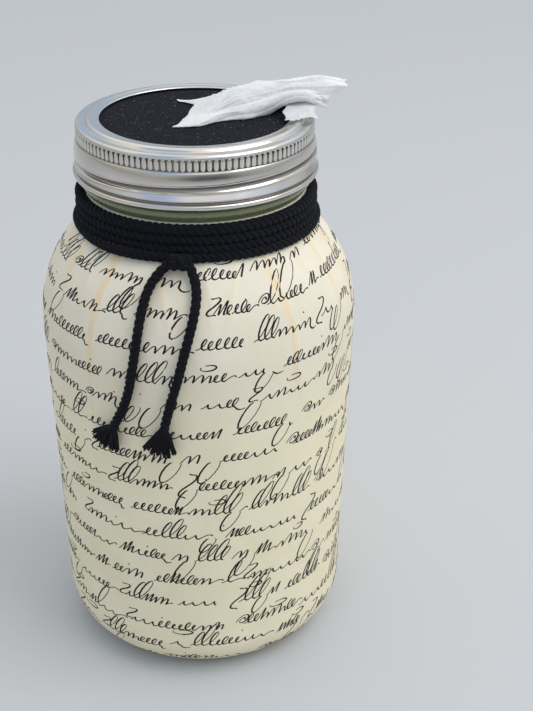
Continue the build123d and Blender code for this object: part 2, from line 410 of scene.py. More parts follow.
# %% Tail routes
tail_routes = {
    "left": [
        (-8.4, -38.6, 146.4), (-12.4, -39.4, 143.0), (-15.6, -42.6, 137.6), (-17.7, -46.2, 129.0),
        (-19.6, -47.8, 118.0), (-21.4, -47.1, 108.4), (-24.2, -45.6, 101.0), (-26.9, -43.9, 95.3),
    ],
    "right": [
        (-2.6, -39.8, 146.2), (-0.9, -41.8, 142.4), (-0.6, -45.1, 138.0), (-2.2, -48.6, 131.4),
        (-4.8, -51.0, 122.8), (-7.0, -51.6, 114.4), (-9.6, -51.2, 105.8), (-11.4, -50.4, 97.6),
    ],
}
tail_lines = {}
for end, route in tail_routes.items():
    tail_lines[end] = smooth_line("tail_line", [Vector(p) * MM for p in route])
    print("tail", end, "is", round(length_of(tail_lines[end]) / MM, 1), "mm")

# %% [markdown]
# The tuft is where the plies come apart. Fibres start across the cord's end and fan out in a few
# bunches, each fibre with its own length and a slight wave. A tree grows them from one point.

# %% Frayed end: one fibre and its bunch
bunches, bunch_step = 8, 3.5
fibre_radius = 0.27 * MM
fray, given = start_tree(
    "frayed_end", Fibres="Int", Seed="Int", End="Vector", Way="Vector", Across="Vector",
    Outward="Vector", Length="Float", Width="Float", Depth="Float",
)
seed = given["Seed"]
points = fray.geo("Points", Count=given["Fibres"])[0]
straight = fray.geo("CurvePrimitiveLine", End=(0, 0, 1))[0]
fibres = fray.geo("InstanceOnPoints", Points=points, Instance=straight)[0]
fibres = fray.geo("RealizeInstances", Geometry=fibres)[0]
fibres = fray.geo("ResampleCurve", Curve=fibres, Count=8)[0]
who = fray.geo("CurveOfPoint")["Curve Index"]
along = fray.geo("SplineParameter")["Factor"]
bunch = fray.calc("FLOOR", fray.times(fray.dice(0, 1, seed, 1, who), bunches))
fan = fray.plus(fray.calc("DIVIDE", bunch, bunch_step), -1)
fan = fray.plus(fan, fray.dice(-0.12, 0.12, seed, 2, who))
print("a tuft has", bunches, "bunches of fibres")

# %% [markdown]
# Each fibre gets its place from three sums: how far it fans sideways, how far it reaches ahead,
# and how far it lifts off the paper. The middle bunches reach farther than the outer ones.

# %% Frayed end: where each fibre goes
spread = fray.plus(fray.calc("POWER", along, 0.9), 0.2)
wave = fray.calc("SINE", fray.times(along, fray.dice(2, 7, seed, 3, who)))
wave = fray.times(wave, fray.dice(-0.05, 0.05, seed, 4, who))
sideways = fray.plus(fray.times(fan, spread), wave)
sideways = fray.times(sideways, fray.times(given["Width"], 0.4))
reach = fray.times(given["Length"], fray.dice(0.78, 1.0, seed, 5, bunch))
reach = fray.times(reach, fray.dice(0.88, 1.0, seed, 7, who))
bow = fray.times(fray.calc("ABSOLUTE", fan), -0.16)
reach = fray.times(reach, fray.plus(bow, 1))
ahead = fray.times(along, reach)
lift = fray.times(fray.dice(-1, 1, seed, 6, who), given["Depth"])
place = fray.vector("ADD", given["End"], fray.vector("SCALE", given["Way"], ahead))
place = fray.vector("ADD", place, fray.vector("SCALE", given["Across"], sideways))
place = fray.vector("ADD", place, fray.vector("SCALE", given["Outward"], lift))
fibres = fray.geo("SetPosition", Geometry=fibres, Position=place)[0]
profile = fray.geo("CurvePrimitiveCircle", Resolution=5, Radius=fibre_radius)[0]
taper = fray.calc("SUBTRACT", 1.15, fray.times(along, 0.35))
sweep(fray, fibres, profile, cord_black, Scale=taper)

# %% [markdown]
# A tail and its tuft are laid together, because the tuft takes its directions from the tail's
# last stretch. The tail is a free cord.

# %% Tails and their frayed ends
tuft_length = {"left": 9.0 * MM, "right": 10.6 * MM}
inside_tail = 0.6 * MM
for number, (end, points) in enumerate(tail_lines.items()):
    way = (points[-1] - points[-3]).normalized()
    outward = Vector((points[-1].x, points[-1].y, 0)).normalized()
    across = way.cross(outward).normalized()
    tuft = add_mesh("tuft_" + end, [points[-1]], [])
    grow(
        tuft, fray, Fibres=130, Seed=11 + 20 * number, End=points[-1] - way * inside_tail,
        Way=way, Across=across, Outward=outward, Length=tuft_length[end], Width=9.6 * MM,
        Depth=0.9 * MM,
    )
    dress(tuft, "jar", ["tassel_" + end])
    tail = lay_cord("cord_tail_" + end, points)
    dress(tail, "jar", ["tail_" + end])

# %% [markdown]
# ## The turns round the neck
# The cord goes round four times, one turn above the other, steps up behind, and comes down behind
# to the knot. It is held tight, so it isn't a free cord: it follows the CAD model's route.

# %% Neck cord
turn_heights = (146.95, 149.4, 152.3, 155.15)
turn_radii = (36.52, 35.45, 35.45, 35.45)
over_radius = 39.57
knot_angle = -8
corner, half_corner = cos(radians(18)), cos(radians(9))
right_side = [18 + 36 * k for k in range(5)]
left_side = [180 + angle for angle in right_side]
wrap = [around(knot_angle + 2, turn_radii[0], turn_heights[0])]
for k in range(3):
    wrap += [around(a, turn_radii[k] / corner, turn_heights[k]) for a in right_side]
    wrap += [around(a, turn_radii[k + 1] / corner, turn_heights[k + 1]) for a in left_side]
wrap += [around(a, turn_radii[3] / corner, turn_heights[3]) for a in right_side[:-1]]
drop = turn_heights[3] - turn_heights[0]
# Behind, the last turn lifts over the others and comes down to the lowest: angle, radius, drop.
for angle, radius, dropped in (
    (144, (turn_radii[3] + over_radius) / 2, 0), (162, over_radius, 0.16),
    (180, over_radius, 0.5), (198, over_radius, 0.86),
    (216, (turn_radii[0] + over_radius) / 2, 1),
):
    wrap.append(around(angle, radius / half_corner, turn_heights[3] - dropped * drop))
wrap += [around(a, turn_radii[0] / corner, turn_heights[0]) for a in (234, 270, 306, 332)]
wrap += [around(360 + knot_angle - 2, turn_radii[0], turn_heights[0])]
neck_line = smooth_line("neck_line", wrap)
neck = lay_cord("cord_turns", neck_line, diameter=3.3 * MM, step=0.5 * MM)
dress(neck, "jar", ["neck_cord"])
print("neck cord is", round(length_of(neck_line) / MM), "mm long")

# %% [markdown]
# The knot is an overhand one pulled tight. Its line is a trefoil squeezed to the knot's box, and
# the same tree lays the plies along it, so it reads as the same cord.

# %% Knot
knot_low, knot_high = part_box("cord_knot")
knot_centre = (knot_low + knot_high) / 2
knot_reach = [(high - low) / 2 - cord_diameter * 0.45 for low, high in zip(knot_low, knot_high)]
knot_points = []
for k in range(97):
    t = 2 * pi * k / 96
    ring = 0.62 + 0.38 * cos(3 * t)
    shape = (ring * cos(2 * t), 0.9 * sin(3 * t), ring * sin(2 * t))
    offset = [part * reach for part, reach in zip(shape, knot_reach)]
    knot_points.append(knot_centre + Vector(offset))
knot = lay_cord("cord_knot_turns", knot_points, diameter=cord_diameter * 0.86, step=0.3 * MM)
dress(knot, "jar", ["cord_knot"])

# %% [markdown]
# ## The paper
# Thin paper is glued over the whole outside. It is one turned sheet whose outline is measured on
# the CAD model, with pleats pressed flat over the shoulder and small wrinkles everywhere.

# %% Outline of the paper
def solid_tree(name):
    """A search tree of a CAD node's faces."""
    data = nodes_of_frame[name].data
    return BVHTree.FromPolygons([v.co for v in data.vertices], [p.vertices for p in data.polygons])


paper_low, paper_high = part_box("paper_wrap")
paper_solid = solid_tree("paper_wrap")
heights = np.linspace(paper_low.z + 1e-5, paper_high.z - 1e-5, 900)
radii = []
for height in heights:
    hit = paper_solid.ray_cast(Vector((0, -0.2, height)), Vector((0, 1, 0)))[0]
    radii.append(-hit.y)
# The cut edge goes up the neck a little farther than the solid, which stops under the cord.
heights = np.append(heights, paper_high.z + np.arange(1, 5) * 0.2 * MM)
radii = np.array(radii + [radii[-1]] * 4)
climb = np.hypot(np.diff(heights), np.diff(radii))
climbs = np.concatenate([[0], np.cumsum(climb)])
print("paper outline is", round(climbs[-1] / MM, 1), "mm from heel to neck")

# %% [markdown]
# Flat paper has too much width at the neck, so it is folded into pleats that run out down the
# shoulder. Where a pleat overlaps, the glue shows through as a peach streak; how far a point lies
# inside one is kept on the points. Relief comes from sums of noise, since no wrinkle repeats.

# %% Pleats and wrinkles
pleats = [
    # angle at the neck, angle at its foot, height of the foot, width, all in degrees and mm
    (-39, -42, 100, 3.4), (29, 37, 104, 3.2), (-22, -9, 126, 1.2), (19, 9, 128, 1.0),
    (-64, -58, 118, 2.6), (58, 63, 120, 2.0), (-12, -5, 131, 0.8), (3, 4, 130, 0.8),
    (-52, -48, 128, 1.2), (45, 50, 132, 1.4), (74, 78, 112, 2.8), (-80, -77, 110, 2.4),
    (95, 92, 116, 3.0), (112, 117, 124, 1.6), (131, 128, 108, 3.2), (150, 153, 121, 2.2),
    (169, 166, 114, 2.8), (-97, -101, 122, 2.0), (-116, -113, 109, 3.0), (-133, -138, 118, 1.8),
    (-152, -149, 112, 2.6), (-170, -173, 125, 1.4),
]
paper_top = paper_high.z / MM
run_out = 1.15  # a pleat fades away this far down, where 1 is its foot


def noise_at(x, y, z):
    """A smooth random number between -1 and 1."""
    return noise.noise(Vector((x, y, z)))


def pleat_at(angle, height, radius):
    """How far inside a pleat's strip a point is (0 to 1), and the relief of its fold in mm."""
    inside, relief = 0.0, 0.0
    for top, foot, foot_height, width in pleats:
        down = (paper_top - height) / (paper_top - foot_height)
        if not 0 <= down <= run_out:
            continue
        bend = noise_at(top, down * 3, 2) * 2
        off = (angle - top - (foot - top) * down - bend + 180) % 360 - 180
        aside = radians(off) * radius
        narrow = width * (1 - 0.72 * down)
        fade = min(1, max(0, (run_out - down) / 0.35))
        edge = (narrow / 2 + 0.25 - abs(aside)) / 0.5
        blotch = 0.75 + 0.6 * noise_at(aside * 0.5, height * 0.22, top)
        inside = max(inside, min(1, max(0, edge)) * fade * min(1, blotch))
        relief += 0.2 * exp(-(((aside - narrow / 2) / 0.7) ** 2)) * fade
        relief += 0.1 * exp(-(((aside + narrow / 2) / 0.9) ** 2)) * fade
    return inside, relief


def wrinkle_at(place, height):
    """Small wrinkles of glued paper, stronger over the shoulder, in mm."""
    on_shoulder = 1 / (1 + exp((122 - height) / 6))
    broad = noise_at(place.x * 90, place.y * 90, place.z * 55)
    fine = noise_at(place.x * 260, place.y * 260, place.z * 170)
    crease = 1 - abs(noise_at(place.x * 120, place.y * 120, place.z * 45 + 7) * 4)
    ridge = max(0, crease) ** 3
    return broad * (0.1 + 0.1 * on_shoulder) + fine * 0.05 + ridge * (0.04 + 0.08 * on_shoulder)


print("the shoulder has", len(pleats), "pleats")

# %% [markdown]
# Now the outline is turned. Each point of the sheet moves out by its wrinkles and its pleat, and
# less and less towards both rims, so that they stay flat on the jar.

# %% Paper sheet
rows, columns = 146, 320
paper_lift = 0.05
paper_points, overlaps = [], []
for row in range(rows):
    climbed = climbs[-1] * row / (rows - 1)
    height = float(np.interp(climbed, climbs, heights))
    radius = float(np.interp(climbed, climbs, radii))
    rim = min(1, row / 4, (rows - 1 - row) / 4)
    for column in range(columns):
        angle = 360 * column / columns - 180
        place = around(angle, radius / MM, height / MM)
        inside, relief = pleat_at(angle, height / MM, radius / MM)
        out = (relief + wrinkle_at(place, height / MM) + paper_lift) * rim
        paper_points.append(around(angle, radius / MM + out, height / MM))
        overlaps.append(inside)
paper = add_sheet("paper", paper_points, columns)
keep_numbers(paper, "overlap", overlaps)
thicken(paper, 0.28 * MM)
print("paper has", len(paper.data.vertices), "points")

# %% [markdown]
# The paper is cream with faint clouding, a little darker and bluer over the shoulder as painted
# shade, and peach where `overlap` is high. The surface has the small pebbles of brushed glue
# and a soft satin sheen.

# %% Paper finish
paper_look, bench, shader = start_material("glued_paper", Roughness=0.6, Specular_IOR_Level=0.3)
cloud = bench.noise(60, 4)
cream = bench.ramp(cloud, (0.3, (0.84, 0.765, 0.535)), (0.7, (0.90, 0.825, 0.605)))
above_base = bench.split(bench.node("ShaderNodeTexCoord")["Object"])["Z"]
# Painted shade: from 85 to 125 mm up the cream turns a little darker and bluer, and stays so
# above.
shoulder_shade = bench.ramp(above_base, (0.085, (1, 1, 1)), (0.125, (0.94, 0.95, 1.06)))
cream = bench.vector("MULTIPLY", cream, shoulder_shade)
bench.wire(bench.mix("overlap", cream, (0.87, 0.68, 0.43, 1)), shader["Base Color"])
bench.wire(bench.bump(bench.noise(900, 3), 0.12 * MM, 0.6), shader["Normal"])
dress(paper, "jar", ["paper_wrap"], paper_look)

# %% [markdown]
# ## Pen flourishes
# The paper is covered with rows of slanted pen ornament, as a writing master draws them to loosen
# the hand: swelling runs of coils, waves and spires, scrolls, long swashes. They spell nothing.
# Each swing of the pen is a rule with a height and a width of its own, so no two are alike.

# %% One swing of the pen
pen = random.Random(1871)
slant = 0.62


def swing(line, advance, height, loose, steps=12):
    """Adds one swing of the pen, a hump or a loop, to a line of upright (x, y) points."""
    start = line[-1][0]
    for k in range(1, steps + 1):
        t = k / steps
        y = height * (1 - cos(2 * pi * t)) / 2
        line.append((start + advance * t + loose * sin(2 * pi * t) * abs(height) ** 0.5, y))


def run_of_swings(line, count, advance, height, loose):
    """A run that swells and shrinks, each swing with a size of its own."""
    for k in range(count):
        swell = (0.7 + 0.45 * sin(pi * (k + 0.5) / count)) * pen.uniform(0.75, 1.2)
        swing(line, advance * pen.uniform(0.75, 1.3), height * swell, loose)


def scroll(x, size, turns=1.6, steps=30):
    """A spiral that closes on itself."""
    spiral = []
    for k in range(steps + 1):
        t = k / steps
        radius = size * (1 - 0.8 * t)
        angle = radians(200) - 2 * pi * turns * t
        spiral.append((x + size + radius * cos(angle), size * 0.9 + radius * sin(angle)))
    return spiral


def long_ess(x, high, low):
    """A tall double curve that runs through the line, with a hook at each end."""
    curve = []
    for k in range(31):
        t = k / 30
        bend = 1.5 * sin(2 * pi * t) - 2.2 * (1 - t) ** 5 + 2.0 * t**5
        hook = 1.6 * exp(-((t / 0.12) ** 2)) - 1.4 * exp(-(((1 - t) / 0.12) ** 2))
        curve.append((x + 1.5 + bend, high + (low - high) * t - hook))
    return curve


print("pen ready")

# %% [markdown]
# A flourish is a group of strokes: a scroll or a long curve now and then, a chain of runs, a
# flick at the end, and sometimes a stroke or a dot above. A seeded pen draws lots for each.

# %% One flourish
runs = [
    # share, fewest, most, advance, height, looseness of the loop, the last three in mm
    (0.25, 2, 4, 2.0, 2.7, 0.56), (0.23, 2, 4, 2.1, 2.4, -0.15), (0.13, 1, 3, 2.3, 7.4, 0.55),
    (0.14, 1, 1, 2.3, -6.4, -0.55), (0.12, 1, 3, 1.5, 3.3, 0.0), (0.13, 1, 3, 3.1, 1.5, 0.3),
]
scroll_odds, ess_odds, flick_odds, stroke_odds, dot_odds = 0.16, 0.36, 0.7, 0.3, 0.35


def flourish():
    """One group of strokes as lines of slanted (x, y) in mm, and its width."""
    lines, x = [], 0.0
    dice = pen.random()
    if dice < scroll_odds:
        lines.append(scroll(0, pen.uniform(1.5, 2.3)))
        x = 3.4
    elif dice < ess_odds:
        lines.append(long_ess(0.6, pen.uniform(6, 8), pen.uniform(-4.5, -0.5)))
        x = 3.0
    line = [(x, 0.0)]
    for _ in range(pen.choice((1, 2, 3, 3, 4, 4))):
        dice = pen.random()
        for share, fewest, most, advance, height, loose in runs:
            dice -= share
            if dice <= 0:
                break
        count = pen.randint(fewest, most)
        run_of_swings(line, count, advance, height * pen.uniform(0.9, 1.15), loose)
    end = line[-1][0]
    if pen.random() < flick_odds:
        flick = pen.uniform(1.5, 4.5)
        lift = pen.choice((-1.2, 0.9, 1.6))
        line += [(end + flick * k / 6, lift * sin(pi * k / 8)) for k in range(1, 7)]
    lines.append(line)
    if pen.random() < stroke_odds:
        middle, high = pen.uniform(0.3, 0.7) * end, pen.uniform(4.4, 6.0)
        reach = pen.uniform(1.6, 3.6)
        turns = [2 * pi * k / 26 - 0.6 for k in range(24)]
        lines.append([(middle + reach * sin(a), high + 0.9 * cos(a)) for a in turns])
    if pen.random() < dot_odds:
        left, high = pen.uniform(0.2, 0.9) * end, pen.uniform(3.8, 5.0)
        lines.append([(left, high), (left + 0.15, high - 0.45)])
    return [[(a + b * slant, b) for a, b in stroke] for stroke in lines], end


print("a flourish has", len(flourish()[0]), "strokes")

# %% [markdown]
# The rows go round the jar and sag in front, because the sheet was stuck on by hand. The page is
# kept flat for now: a point's X is its angle round the jar and its Y is its height. A pen is
# thick where it is pulled down and thin where it is pushed up, so each point gets a width.

# %% Rows of flourishes on the page
row_heights = (141.6, 132.9, 123.7, 113.8, 104.6, 94.6, 85.7, 75.8, 66.5, 57.3, 48.7, 39.5,
               30.9, 21.4, 14.0, 6.2)
up_stroke, down_stroke = 0.15 * MM, 0.33 * MM
page_start, page_end = -178.0, 176
page, page_edges, widths = [], [], []
for base in row_heights:
    tilt = 0.04 / (1 + exp((88 - base) / 10))
    sag = 3.0 / (1 + exp((base - 30) / 8))
    angle = page_start + pen.uniform(0, 4)
    while angle < page_end:
        strokes, width = flourish()
        here = base + tilt * angle - sag * min(1, (angle / 55) ** 2)
        row_climb = np.interp(here * MM, heights, climbs)
        row_radius = np.interp(here * MM, heights, radii)
        for stroke in strokes:
            first = len(page)
            for k, (x, y) in enumerate(stroke):
                height = np.interp(row_climb + y * MM, climbs, heights)
                page.append((radians(angle) + x * MM / row_radius, height, 0))
                back = stroke[max(k - 1, 0)]
                fall = (back[1] - y) / (abs(back[1] - y) + abs(back[0] - x) + 0.02)
                widths.append(up_stroke + (down_stroke - up_stroke) * max(0, fall) ** 0.5)
            page_edges += [(k, k + 1) for k in range(first, len(page) - 1)]
        angle += (width + pen.uniform(2.2, 4.6)) * MM / row_radius * 180 / pi
print("the page has", len(page), "pen points")

# %% [markdown]
# The ink is laid by a tree. It shoots each point of the page at the paper from outside, so that
# the stroke follows every wrinkle, and sweeps a flat wedge along it that lies on the paper.

# %% Ink
ink, bench, shader = start_material("pen_ink", Roughness=0.55, Specular_IOR_Level=0.3)
speck = bench.noise(500, 3)
worn = bench.ramp(speck, (0.35, (0.004, 0.004, 0.005)), (0.85, (0.03, 0.028, 0.026)))
bench.wire(worn, shader["Base Color"])

nib, given = start_tree("ink_on_paper", Paper="Object", Lift="Float")
pen_width = nib.geo("InputNamedAttribute", Name="pen_width", data_type="FLOAT")[0]
target = nib.geo("ObjectInfo", Object=given["Paper"])["Geometry"]
on_page = nib.split(nib.geo("InputPosition")[0])
inwards = nib.times(nib.calc("COSINE", on_page["X"]), -1)
aim = nib.xyz(nib.calc("SINE", on_page["X"]), inwards)
start = nib.vector("ADD", nib.xyz(0, 0, on_page["Y"]), nib.vector("SCALE", aim, 0.08))
hit = nib.geo(
    "Raycast", Target_Geometry=target, Source_Position=start, Ray_Length=0.1,
    Ray_Direction=nib.vector("SCALE", aim, -1),
)
kept = nib.geo(
    "StoreNamedAttribute", Geometry=given["Geometry"], Name="paper_normal",
    Value=hit["Hit Normal"], data_type="FLOAT_VECTOR",
)[0]
lifted = nib.vector("SCALE", hit["Hit Normal"], given["Lift"])
lifted = nib.vector("ADD", hit["Hit Position"], lifted)
laid = nib.geo("SetPosition", Geometry=kept, Selection=hit["Is Hit"], Position=lifted)[0]
line = nib.geo("MeshToCurve", Mesh=laid)[0]
paper_normal = nib.geo("InputNamedAttribute", Name="paper_normal", data_type="FLOAT_VECTOR")[0]
line = nib.geo("SetCurveNormal", Curve=line, Normal=paper_normal, mode="FREE")[0]
wedge = nib.geo("CurvePrimitiveCircle", Resolution=3, Radius=1.0)[0]
wedge = nib.geo("Transform", Geometry=wedge, Scale=(0.12, 1.15, 1))[0]
sweep(nib, line, wedge, ink, Scale=pen_width)

flourishes = add_mesh("pen_flourishes", page, [], page_edges)
keep_numbers(flourishes, "pen_width", widths)
grow(flourishes, nib, Paper=paper, Lift=0.03 * MM)
dress(flourishes, "jar")

# %% [markdown]
# ## The screw band
# The band is pressed from thin tinplate: a flat ring over the lid, a rolled shoulder, a knurled
# edge for the fingers, a skirt with the screw thread rolled into it, and a hem rolled outwards.
# The tin is bright with a faint grain round it; its grooves get painted shade, a dark brown.

# %% Tinplate
tin, bench, shader = start_material("tinplate", Metallic=1.0, Roughness=0.15)
haze = bench.noise(45, 3)
bright = bench.ramp(haze, (0.3, (0.62, 0.59, 0.545)), (0.7, (0.74, 0.715, 0.675)))
# Painted shade: dark brown is mixed in where the kept number is high, in grooves, knurl gaps and
# thread.
bench.wire(bench.mix("grime", bright, (0.15, 0.125, 0.10, 1)), shader["Base Color"])
rolled = bench.noise(260, 3, stretch=(1, 1, 7))
bench.wire(bench.bump(rolled, 0.012 * MM, 0.6), shader["Normal"])
print("tinplate ready")

# %% [markdown]
# The band is a turned outline, because every part of it but the thread is round. Bright metal
# only shows its form through what it mirrors, so the outline has the small slopes of the real
# one: each of them mirrors another height of the room.

# %% Band outline
band_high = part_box("screw_band")[1]
# Each point is a radius and a height under the band's top, in mm.
ring_and_groove = [
    (28.9, -1.0), (28.6, -0.85), (28.5, -0.6), (28.55, -0.4), (28.8, -0.27), (29.4, -0.25),
    (30.3, -0.22), (30.9, -0.12), (31.4, 0.0), (31.9, -0.02), (32.35, -0.2), (32.7, -0.55),
    (32.85, -0.85), (32.95, -0.93), (33.1, -0.95), (33.6, -0.955), (34.1, -0.96), (34.6, -0.965),
    (35.05, -0.985), (35.25, -1.03), (35.5, -1.2), (35.72, -1.5), (35.88, -1.9), (35.9, -2.15),
    (35.75, -2.3), (35.3, -2.38),
]
knurl_floor = [(35.05 + 0.072 * k, -2.55 - 0.33 * k) for k in range(10)]
smooth_zone = [
    (35.75, -5.72), (35.95, -5.9), (36.08, -6.3), (36.21, -6.8), (36.33, -7.3), (36.43, -7.8),
    (36.51, -8.3), (36.57, -8.7), (36.6, -9.0),
]
skirt = [(36.6, -9.2 - 0.16 * k) for k in range(15)]
skirt += [(36.5, -11.6), (36.2, -11.8), (35.95, -12.0), (35.85, -12.2), (35.9, -12.4)]
skirt += [(35.9 + 0.085 * k, -12.4 - 0.17 * k) for k in range(1, 11)]
hem = [
    (36.7, -14.25), (36.45, -14.4), (36.2, -14.65), (36.15, -15.0), (36.4, -15.15), (36.85, -15.2),
    (37.15, -15.4), (37.3, -15.85), (37.25, -16.3), (37.0, -16.65), (36.7, -16.8), (36.4, -16.7),
]
outline = ring_and_groove + knurl_floor + smooth_zone + skirt + hem
print("band outline has", len(outline), "points")

# %% [markdown]
# The thread is a valley that climbs once round the skirt by the pitch and fades at both ends.
# The glass has the same thread as a ridge, so both ask one helper where it passes.

# %% Band thread
pitch_of_thread = 6.35
valley_start, valley_half, valley_depth = -10.85, 0.8, 0.7
valley_top, valley_bottom = -8.6, -13.5
threaded_top, threaded_bottom = -7.9, -14.1


def passes(angle, start, top, bottom, ease):
    """The heights where a thread passes an angle between two ends, and how strong it is there."""
    for lap in (-360, 0, 360):
        middle = start + pitch_of_thread * (angle + lap) / 360
        fade = min(1, (middle - bottom) / ease, (top - middle) / ease)
        if fade > 0:
            yield middle, fade


def pressed_in(angle, height):
    """How far the thread presses the skirt in, in mm, at a height under the band's top."""
    if not threaded_bottom < height < threaded_top:
        return 0
    pressed = 0.0
    for middle, fade in passes(angle, valley_start, valley_top, valley_bottom, 0.9):
        off = height - middle
        valley = 1 / (1 + exp((abs(off) - valley_half) / 0.09))
        lips = exp(-(((abs(off) - valley_half - 0.35) / 0.22) ** 2))
        pressed += fade * (valley_depth * valley * (1 + 0.45 * off / valley_half) - 0.12 * lips)
    return pressed


print("thread is", round(pressed_in(0, valley_start), 2), "mm deep in front")

# %% [markdown]
# The outline is turned into a skin and gets the thickness of tinplate. How much painted shade a
# point gets is kept on it too: most in the grooves, between the knurls and in the thread.

# %% Band skin
grooves = ((-15.0, 0.22), (-5.6, 0.2), (-2.42, 0.14))  # height and half width of each
knurls_high, knurls_low = -2.5, -5.6
band_columns = 420
band_points, groove_shades = [], []
for radius, height in outline:
    # Painted shade is strongest in the grooves, between the knurls and in the thread valley.
    hollow = sum(exp(-(((height - middle) / half) ** 2)) for middle, half in grooves)
    between_knurls = 0.6 if knurls_low < height < knurls_high else 0
    for column in range(band_columns):
        angle = 360 * column / band_columns - 180
        inwards = pressed_in(angle, height)
        band_points.append(around(angle, radius - inwards, band_high.z / MM + height))
        in_valley = 0.8 * max(0, inwards) / valley_depth
        groove_shades.append(min(1, hollow + between_knurls + in_valley))
band = add_sheet("band", band_points, band_columns, flip=True)
keep_numbers(band, "grime", groove_shades)
thicken(band, 0.35 * MM)
dress(band, "band", ["screw_band"], tin)

# %% [markdown]
# The knurls are one small rib with a round top, repeated round the edge by a tree. The rib starts
# as a ball whose points are pushed towards its two ends, so that its sides come out straight.

# %% Knurls
edge, given = start_tree(
    "knurls", Count="Int", Radius="Float", Height="Float", Half_Size="Vector"
)
ring = edge.geo("CurvePrimitiveCircle", Resolution=given["Count"], Radius=given["Radius"])[0]
spots = edge.geo("CurveToPoints", Curve=ring, mode="EVALUATED")["Points"]
ball = edge.geo("MeshUVSphere", Segments=12, Rings=10, Radius=1.0)["Mesh"]
place = edge.geo("InputPosition")[0]
whole = edge.split(place)
ends = edge.calc("POWER", edge.calc("ABSOLUTE", whole["Z"]), 0.6)
ends = edge.times(ends, edge.calc("SIGN", whole["Z"]))
straight = edge.vector("MULTIPLY", edge.xyz(whole["X"], whole["Y"], ends), given["Half Size"])
rib = edge.geo("SetPosition", Geometry=ball, Position=straight)[0]
# Each rib is turned so that its X points outwards and its Y runs along the edge.
facing = edge.calc("ARCTAN2", whole["Y"], whole["X"])
ribs = edge.geo("InstanceOnPoints", Points=spots, Instance=rib, Rotation=edge.xyz(0, 0, facing))[0]
raised = edge.geo("Transform", Geometry=ribs, Translation=edge.xyz(0, 0, given["Height"]))[0]
end_tree(edge, raised, tin)
knurls = add_mesh("knurls", [(0, 0, 0)], [])
grow(
    knurls, edge, Count=120, Radius=35.55 * MM, Height=band_high.z - 3.98 * MM,
    Half_Size=(0.34 * MM, 0.75 * MM, 1.8 * MM),
)
dress(knurls, "band")
print("knurl box", [round(v / MM, 2) for v in knurls.dimensions])

# %% [markdown]
# ## The felt disc
# The lid is a black felt disc with a slit that runs from front to back. Felt is a mat of fibres,
# so its colour and its relief come from one fine noise: most of it black, a few fibres pale.

# %% Felt finish
felt, bench, shader = start_material("black_felt", Roughness=0.95, Specular_IOR_Level=0.03)
mat = bench.noise(1700, 4, roughness=0.75)
dark = bench.ramp(
    mat, (0.3, (0.006, 0.0065, 0.009)), (0.56, (0.022, 0.023, 0.030)),
    (0.66, (0.045, 0.046, 0.056)), (0.76, (0.12, 0.12, 0.13)),
)
bench.wire(dark, shader["Base Color"])
bench.wire(bench.bump(mat, 0.3 * MM), shader["Normal"])
print("felt finish ready")

# %% [markdown]
# The band clamps the disc's edge, so its middle stands a little proud, and the slit has soft
# lips. Rings of points run from the slit's outline to the round rim, and a rule lifts them.

# %% Felt disc
felt_low, felt_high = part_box("felt_disc")
felt_radius = (felt_high.x - felt_low.x) / 2 / MM
felt_top = felt_high.z / MM
slit_half, slit_open = 9.5, 1.1
crown, crown_radius = 0.75, 28.5
felt_rings, felt_columns = 34, 180


def on_felt(x, y):
    """Height of the felt's top in mm."""
    share = (x * x + y * y) / crown_radius**2
    return felt_top + crown * max(0, 1 - share) ** 0.6 * min(1, 1.2 - 0.2 * share)


felt_points = []
for k in range(felt_rings):
    grown = (k / (felt_rings - 1)) ** 0.8
    for column in range(felt_columns):
        angle = 2 * pi * column / felt_columns
        slit = (slit_open * cos(angle), slit_half * sin(angle))
        rim = (felt_radius * cos(angle), felt_radius * sin(angle))
        x = slit[0] + (rim[0] - slit[0]) * grown
        y = slit[1] + (rim[1] - slit[1]) * grown
        nap = 0.05 * noise_at(x * 1.3, y * 1.3, 4)
        lip = 0.35 * exp(-((k / 2.5) ** 2)) * (1 - (y / 12) ** 2)
        felt_points.append(Vector((x, y, on_felt(x, y) + nap + lip)) * MM)
felt_pad = add_sheet("felt_pad", felt_points, felt_columns, flip=True)
thicken(felt_pad, felt_high.z - felt_low.z - 0.1 * MM)
dress(felt_pad, "insert", ["felt_disc"], felt)

# %% [markdown]
# Black felt always collects lint. A tree drops short bowed threads on a copy of the disc: each
# one lands where a ray from above meets the felt, tipped and sized by its own lot.

# %% Lint on the felt
lint_look, bench, shader = start_material("lint", Roughness=0.9, Specular_IOR_Level=0.1)
pale = bench.ramp(bench.noise(300, 1), (0.3, (0.16, 0.16, 0.17)), (0.7, (0.5, 0.49, 0.46)))
bench.wire(pale, shader["Base Color"])

fluff, given = start_tree(
    "lint", Amount="Int", Seed="Int", Reach="Float", Length="Float", Thickness="Float"
)
seed = given["Seed"]
bits = fluff.geo("Points", Count=given["Amount"])[0]
turn = fluff.dice(0, 2 * pi, seed, 1)
far = fluff.times(fluff.calc("SQRT", fluff.dice(0.02, 1, seed, 2)), given["Reach"])
x = fluff.times(far, fluff.calc("COSINE", turn))
y = fluff.times(far, fluff.calc("SINE", turn))
landed = fluff.geo(
    "Raycast", Target_Geometry=given["Geometry"], Source_Position=fluff.xyz(x, y, 0.3),
    Ray_Direction=(0, 0, -1), Ray_Length=1.0,
)["Hit Position"]
bits = fluff.geo("SetPosition", Geometry=bits, Position=landed)[0]
bow = fluff.geo(
    "CurveQuadraticBezier", Start=(-0.5, 0, 0), Middle=(0, 0.22, 0.12), End=(0.5, 0, 0),
    Resolution=5,
)[0]
tips = [fluff.dice(-0.25, 0.25, seed, shift) for shift in (3, 4)]
tilt = fluff.xyz(*tips, fluff.dice(0, 2 * pi, seed, 5))
long = fluff.calc("POWER", fluff.dice(0.15, 1, seed, 6), 2.2)
long = fluff.times(long, given["Length"])
